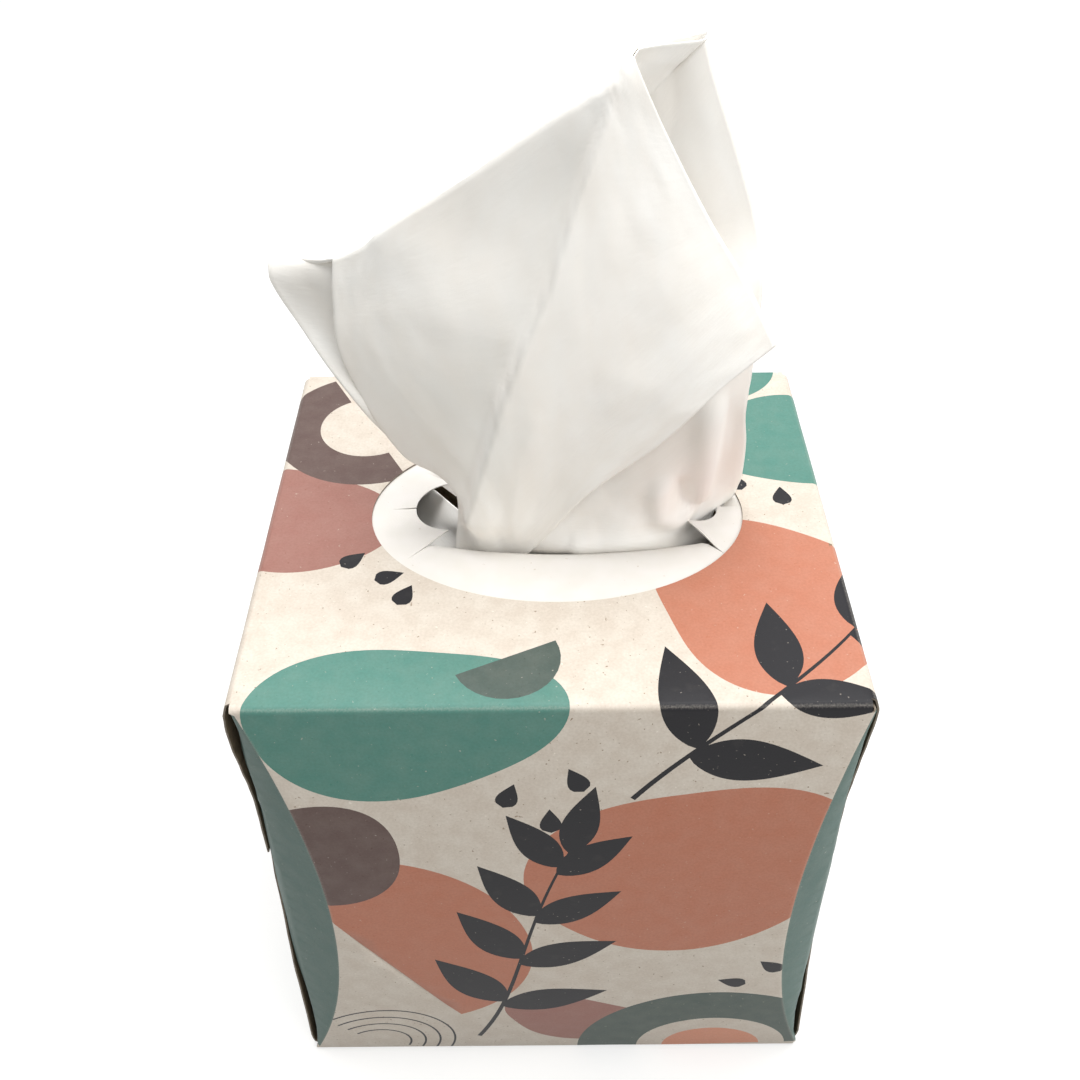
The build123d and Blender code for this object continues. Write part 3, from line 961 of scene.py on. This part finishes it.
pulledTissue = {
    "thickness": 0.2,
    "colours": ("#FAF8F3", "#F7F3EC"),
    "speckColour": "#6B6258",
    "speckSpacing": 17.0,
    "speckEdge": (0.016, 0.022, 0.75),  # shares of the spacing where a speck fades and ends; its strength
    "across": 98,
    "stepLength": 1.6,
    "rowSteps": (3, 16),  # fewest and most rows between two guide rows
    "plyGap": 0.4,  # between the two halves of the doubled sheet in the slot, and more above it
    "plyOpening": 0.8,
    "openingFoot": (5.0, 25.0),  # the gap widens from this height, over this length
    "openingRows": 12,  # and closes over so many rows towards the crest
    "looseness": 0.6,  # unevenness of the gap
    "edgeSlip": 0.7,  # how far the inner half's free edge strays, in columns
    "turnSteps": 4,
    # rows of x, y and height above the top panel: up the front from the hem to the crest, then down the back
    "frontRows": (
        ((-19, -6, -6), (-14.5, -6.2, -9), (-9, -6.6, -8), (-3.5, -9.3, -2), (7, -12.5, 15),
         (20, -14, 27.5), (31, -13.5, 40), (40, -11, 47)),
        ((-18.5, -3.5, 10.5), (-15, -9, 5), (-9.5, -9.5, 4), (-3.5, -10, 6), (6.5, -12, 20.5),
         (18, -13, 31.5), (29, -12.5, 43), (38, -10, 51)),
        ((-29, -1, 17), (-20.5, -5, 21.5), (-12.5, -8.5, 25.5), (-4.5, -10.5, 29.5), (4.5, -11, 33.5),
         (15, -11, 42), (25, -10, 51.5), (34, -7, 58)),
        ((-37.5, -1, 38), (-30, -3, 42), (-21, -5, 45), (-9, -7, 50), (2.5, -7.5, 56.5), (11, -7, 62.5),
         (19, -6, 66), (27, -4, 68.5)),
        ((-38, 0, 50.5), (-32, -1, 53), (-24.5, -2.5, 57.5), (-12, -3, 63.5), (0.5, -3.5, 72.5),
         (8.5, -3.5, 78.5), (14, -3, 81.5), (19.5, -2, 82)),
        ((-37.5, 0.5, 58.5), (-32, 0, 61), (-26, -0.5, 66), (-13.5, -1, 74), (-1, -1, 83), (7, -1.2, 88.5),
         (10.5, -1, 91), (13.5, -0.5, 94.5)),
    ),
    "backRows": (
        ((-49, 15, 50.5), (-36, 4, 56.5), (-27, 5.5, 56), (-12, 8, 61), (2, 7.5, 70), (11, 7, 79),
         (19, 6.7, 87), (26, 7.6, 94.5)),
        ((-51.5, 14, 47.5), (-37, 3, 52), (-28, 4.5, 52), (-12.5, 7.5, 56), (2, 6.5, 65), (11.5, 6.3, 73.5),
         (20, 5.8, 82.5), (27, 6.9, 90)),
        ((-39, 0.5, 33), (-30.5, 3, 34), (-22.5, 5, 36), (-10, 7, 41.5), (3, 5.2, 48.5), (13.5, 3.5, 54),
         (25.5, 2.2, 60.5), (36.5, 3.7, 63)),
        ((-28.5, 3, 15.5), (-22, 3, 17), (-15.5, 2, 18), (-6, 0, 20.5), (5, -2, 23.5), (15, -4.5, 29),
         (28, -4.5, 42.5), (38, -1, 50.5)),
        ((-17.5, 3, 7), (-14, 1, 8), (-10, -1, 9), (-1, -4, 10), (8, -6, 12), (17, -7, 15),
         (29.5, -6.5, 25), (37.5, -2.5, 29.5)),
    ),
    # through the slot, flaring to the left and the back below it
    "slotRows": (
        ((-17, 2, 2.5), (-14.5, -3, 2.8), (-8, -6.5, 3), (0, -8.2, 3), (9, -8.6, 3), (18, -8.2, 3),
         (30.3, -2.7, 3.3), (39, 5.5, 2)),
        ((-17.5, 2, -1.5), (-16, -3.5, -1.5), (-10, -6, -1.2), (-1, -9, -1.2), (8, -9.6, -1.2),
         (17, -9.3, -1.2), (25.5, -5.6, -1.4), (34.3, 2.6, -1.6)),
        ((-28, 19, -6.5), (-26, 8, -9.5), (-20, -3.5, -8), (-11, -4.5, -7), (2, -6, -7), (14, -6.2, -7),
         (24, -6, -7), (33, -2, -7)),
        ((-33, 24, -16), (-34, 6, -18), (-29, -7, -16), (-14, -6, -14), (0, -3, -14), (12, -2, -14),
         (22, -2, -14), (30, -1, -14)),
        ((-34, 14, -27), (-35, 3, -28), (-25, 0, -28), (-13, 0, -28), (0, 1, -28), (12, 2, -28),
         (22, 2, -28), (31, 2, -28)),
    ),
    "tailHalf": 43.0,
    "tailPlaces": ((7.0, 6.0), (15.0, 2.0), (27.0, 1.7), (40.0, 1.5)),  # to the back, and above the pile
    # soft crease from the crest down to the slot, as x and height
    "ridge": ((11, 90), (4.6, 73), (0.5, 60), (-8.6, 36.7), (-13.1, 19.3), (-15.9, 9), (-17.4, 3),
              (-18.9, -2)),
    "ridgeHeight": 4.0,
    "ridgeWidth": 12.0,
    "ridgeFoot": 8.0,  # the crease comes on over this height above the slot
    # left of it the sheet steps back: depth, width of the edge, and how far the step reaches
    "step": (3.0, 0.5, 11.0),
    "stepTop": (94.0, 25.0),  # it is gone at this height, and fades over this length
    # folds over the slot: path of x and height, how far it stands out, and its width to the left and right
    "folds": (
        (((5.5, 2.5), (5.4, 0), (5.9, -6)), 0.6, 0.9, 4.0),
        (((23.6, 17), (21.8, 10.3), (22.8, 5.2), (25.6, 3), (28, 4)), 2.0, 2.2, 1.4),
        (((25, 16), (26.6, 8.2), (29.8, 3.4)), -1.6, 1.2, 2.6),
        (((31.4, 36), (31, 26), (31.2, 16), (31, 7)), 2.2, 3.2, 1.2),
        (((33.2, 34), (32.8, 20), (33, 8)), -1.0, 1.0, 2.6),
        (((38.2, 34), (38, 20), (38.2, 6)), 1.2, 2.0, 2.0),
    ),
    "foldStart": 0.25,  # share of its path over which a fold comes on
    "foldFoot": (-9.0, 5.0),  # the folds are lost below this height, over this length
    "freeFrom": (-4.0, 10.0),  # the sheet hangs free above this height, over this length
    "facets": (27.0, 31.0, 0.55),  # size across and along, and depth
    "crinkles": ((9.0, 12.0, 5.9, 0.25), (3.6, 4.4, 9.1, 0.07)),  # size across and along, seed and depth
    "crinklesHeld": 0.3,  # share of them that stays in the slot
    "flat": 200.0,
}


def catmull(a, b, c, d, t):
    return 0.5 * ((2 * b) + (c - a) * t + (2 * a - 5 * b + 4 * c - d) * t * t
                  + (3 * b - a - 3 * c + d) * t ** 3)


# A row or column of guide points made finer, with count pieces to each gap
def refined(guides, counts):
    points = []
    for i in range(len(guides) - 1):
        before = guides[i - 1] if i else guides[0] * 2 - guides[1]
        after = guides[i + 2] if i + 2 < len(guides) else guides[-1] * 2 - guides[-2]
        for k in range(counts[i]):
            points.append(catmull(before, guides[i], guides[i + 1], after, k / counts[i]))
    return points + [guides[-1]]


# Creped tissue of recycled pulp: warm white and quite dull, with a dark speck here and there
def tissueMaterial():
    t = pulledTissue
    material, tree, shader = newMaterial("creped tissue paper",
                                         {"Roughness": 0.95, "Specular IOR Level": 0.15})
    place = millimetreCoordinates(tree)
    cloud = fleckMask(tree, place, 9.0, 0.3, 0.7, 8)
    spots = addNode(tree, "TexVoronoi", {"Vector": place, "Scale": 1 / t["speckSpacing"]}, "Distance")
    fading, end, strength = t["speckEdge"]
    speck = addNode(tree, "MapRange", {"Value": spots, "From Min": fading, "From Max": end,
                                       "To Min": strength, "To Max": 0.0})
    pale, dull = t["colours"]
    colour = layered(tree, linear(pale), ((cloud, dull), (speck, t["speckColour"])))
    # Creping runs across the sheet; the real ridges are finer than the picture can show
    stretched = addNode(tree, "Mapping", {"Vector": place, "Scale": (0.25, 1.6, 1.0)})
    crepe = addNode(tree, "TexNoise", {"Vector": stretched, "Scale": 1.1, "Detail": 3.0})
    dressed(tree, shader, colour, crepe, 0.10, 0.55)
    return material


# The outer half of the sheet as a grid of points, and the row of it that is the crest
def tissueGrid():
    t = pulledTissue
    gaps = len(t["frontRows"][0]) - 1
    counts = [t["across"] // gaps] * gaps

    def guideRow(row):
        return refined([Vector((x, y, boxHeight + z)) for x, y, z in row], counts)

    front = [guideRow(row) for row in t["frontRows"]]
    back = [guideRow(row) for row in t["backRows"] + t["slotRows"]]
    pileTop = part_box("tissue_pile")[1].z / mm
    half = t["tailHalf"]
    for place, above in t["tailPlaces"]:
        back.append([Vector((-half + 2 * half * i / t["across"], place, pileTop + above))
                     for i in range(t["across"] + 1)])
    fewest, most = t["rowSteps"]
    grid = []
    # The sheet is folded sharply at its crest, and its top edges run straight on to the back's corners
    for guides in (front, [front[-1], back[0]], back):
        lengths = [max((a - b).length for a, b in zip(row, after)) for row, after in zip(guides, guides[1:])]
        rowCounts = [max(fewest, min(most, round(length / t["stepLength"]))) for length in lengths]
        columns = [refined([row[i] for row in guides], rowCounts) for i in range(t["across"] + 1)]
        rows = [[column[r] for column in columns] for r in range(len(columns[0]))]
        grid += rows[1 if grid else 0:]
        if guides is front:
            crest = len(grid) - 1
    return grid, crest


# How far a point lies from a path of x and height, above zero to the right of its way down,
# and the share of the path that is passed there
def nearestOnPath(path, x, z):
    best = (1e9, 0.0)
    for i, ((x0, z0), (x1, z1)) in enumerate(zip(path, path[1:])):
        length = (x1 - x0) ** 2 + (z1 - z0) ** 2
        share = max(0.0, min(1.0, ((x - x0) * (x1 - x0) + (z - z0) * (z1 - z0)) / length))
        away = math.hypot(x - x0 - share * (x1 - x0), z - z0 - share * (z1 - z0))
        if away < abs(best[0]):
            side = 1 if (x1 - x0) * (z - z0) - (z1 - z0) * (x - x0) > 0 else -1
            best = (away * side, (i + share) / (len(path) - 1))
    return best


# Adds the creases, folds and crinkles that are too fine for the guide rows
def tissueDetail(point, normal, share, along, isFront):
    t = pulledTissue
    x, z = point.x, point.z - boxHeight
    moved = Vector(point)
    if isFront:
        away, _ = nearestOnPath(t["ridge"], x, z)
        lift = t["ridgeHeight"] * math.exp(-abs(away) / t["ridgeWidth"])
        if away < 0:
            depth, edge, reach = t["step"]
            top, fade = t["stepTop"]
            lift -= (depth * (1 - math.exp(away / edge)) * smoothStep((top - z) / fade)
                     * math.exp(away / reach))
        moved.y -= lift * smoothStep(z / t["ridgeFoot"])
    else:
        foot, fade = t["foldFoot"]
        for path, depth, left, right in t["folds"]:
            away, passed = nearestOnPath(path, x, z)
            reach = math.exp(-(away / (right if away > 0 else left)) ** 2)
            moved.y -= depth * reach * smoothStep(passed / t["foldStart"]) * smoothStep((z - foot) / fade)
    start, length = t["freeFrom"]
    free = smoothStep((z - start) / length)
    across = share * 100  # about as many as the millimetres along
    wide, long, depth = t["facets"]
    facets = 0.5 - abs(noise.noise(Vector((across / wide, along / long, 1.3)))) * 2
    soft = sum(height * noise.noise(Vector((across / wide, along / long, seed)))
               for wide, long, seed, height in t["crinkles"])
    held = t["crinklesHeld"]
    return moved + normal * (depth * facets * free + soft * (held + (1 - held) * free))


# Which way the sheet faces at each point of a grid
def gridNormals(grid):
    normals = []
    for r, row in enumerate(grid):
        following, before = grid[min(r + 1, len(grid) - 1)], grid[max(r - 1, 0)]
        normals.append([(row[min(c + 1, len(row) - 1)] - row[max(c - 1, 0)]).cross(
            following[c] - before[c]).normalized() for c in range(len(row))])
    return normals


# The doubled sheet: its inner half lies behind the outer one, and they join at the left fold
def doubled(outer, normals, crest):
    t = pulledTissue
    foot, length = t["openingFoot"]
    rows = []
    for r, (points, ways) in enumerate(zip(outer, normals)):
        inner = []
        for c, (point, way) in enumerate(zip(points, ways)):
            opening = (t["plyOpening"] * smoothStep((point.z - boxHeight - foot) / length)
                       * smoothStep(abs(r - crest) / t["openingRows"]))
            loose = 1 + t["looseness"] * noise.noise(Vector((c / 17, r / 15, 8.8)))
            stray = noise.noise(Vector((r / 13, 2.2, 0.4)))
            edge = (points[-1] - points[-2]) * t["edgeSlip"] * (c / t["across"]) ** 6 * stray
            inner.append(point - way * (t["plyGap"] + opening * loose) + edge)
        middle = (inner[0] + points[0]) / 2
        arm = (points[0] - inner[0]) / 2
        outwards = (points[0] - points[1]).normalized() * arm.length
        turn = []
        for i in range(1, t["turnSteps"] + 1):
            angle = math.pi * i / (t["turnSteps"] + 1)
            turn.append(middle - arm * math.cos(angle) + outwards * math.sin(angle))
        rows.append(inner[::-1] + turn + points)
    return rows


def makePulledTissue():
    t = pulledTissue
    grid, crest = tissueGrid()
    outer = []
    for r, (row, ways) in enumerate(zip(grid, gridNormals(grid))):
        outer.append([tissueDetail(point, way, c / t["across"], r * t["stepLength"], r <= crest)
                      for c, (point, way) in enumerate(zip(row, ways))])
    sheet = doubled(outer, gridNormals(outer), crest)
    rowCount, columnCount = len(sheet), len(sheet[0])
    faces = []
    for r in range(rowCount - 1):
        for a in range(r * columnCount, (r + 1) * columnCount - 1):
            faces.append((a, a + 1, a + columnCount + 1, a + columnCount))
    piece = meshObject("pulled_tissue_sheet", [p for row in sheet for p in row], faces)
    mesh = piece.data
    mesh.materials.append(tissueMaterial())
    flatMap(mesh, [(c / (columnCount - 1) * t["flat"] * mm, r / (rowCount - 1) * t["flat"] * mm)
                   for r in range(rowCount) for c in range(columnCount)])
    mesh.shade_smooth()
    applyModifier(piece, "SOLIDIFY", thickness=t["thickness"] * mm, offset=0.0)
    area = sum(face.area for face in mesh.polygons) / 2
    print("  tissue area m2", round(area, 4), "faces", len(mesh.polygons))
    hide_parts("pulled_tissue")
    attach(piece, "root")


print("pulled tissue")
makePulledTissue()


# Pile: the folded tissues that are left, interleaved, with their soft folds at the sides

tissuePile = {
    "sheets": 28,
    "inset": 0.7,  # from the solid's sides
    "unevenness": 0.6,
    "bulge": 0.45,  # of the folds at the sides, as a share of a sheet's height
    "fill": 0.49,  # of a sheet's height, on each side of its middle
    "endLength": 0.6,  # the front and back edges are thinner over this length
    "endSqueeze": 0.5,
    "smoothAngle": 50,
}


def makePile():
    t = tissuePile
    low, high = (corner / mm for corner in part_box("tissue_pile"))
    fold = (high.z - low.z) / t["sheets"]
    bulge = fold * t["bulge"]
    points, faces = [], []
    for level in range(t["sheets"]):
        middle = low.z + level * fold + fold / 2
        right, left, back, front = (
            edge + t["unevenness"] * noise.noise(Vector((level * pace, *seeds))) for edge, pace, seeds in (
                (high.x - t["inset"], 1.7, (0.5, 0.2)), (low.x + t["inset"], 2.3, (4.5, 1.2)),
                (high.y - t["inset"], 1.1, (8.5, 2.2)), (low.y + t["inset"], 2.9, (2.5, 3.2))))
        outline = []
        for side, reach in ((1, right), (-1, left)):
            for angle in (math.radians(-90 * side + 30 * i) for i in range(7)):
                outline.append((reach - side * bulge + bulge * math.cos(angle),
                                fold * t["fill"] * math.sin(angle)))
        start, count = len(points), len(outline)
        slices = ((front, t["endSqueeze"]), (front + t["endLength"], 1.0), (0.0, 1.0),
                  (back - t["endLength"], 1.0), (back, t["endSqueeze"]))
        for y, squeeze in slices:
            points += [(x, y, middle + z * squeeze) for x, z in outline]
        for k in range(len(slices) - 1):
            for i in range(count):
                a, b = start + k * count + i, start + k * count + (i + 1) % count
                faces.append((a, a + count, b + count, b))
        faces.append(list(range(start, start + count)))
        faces.append(list(range(len(points) - count, len(points)))[::-1])
    piece = meshObject("folded_tissue_pile", points, faces)
    piece.data.materials.append(bpy.data.materials["creped tissue paper"])
    flatMap(piece.data, [(point.co.x + point.co.z, point.co.y + point.co.z) for point in piece.data.vertices])
    smoothed(piece, t["smoothAngle"])
    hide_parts("tissue_pile")
    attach(piece, "root")


print("pile")
makePile()
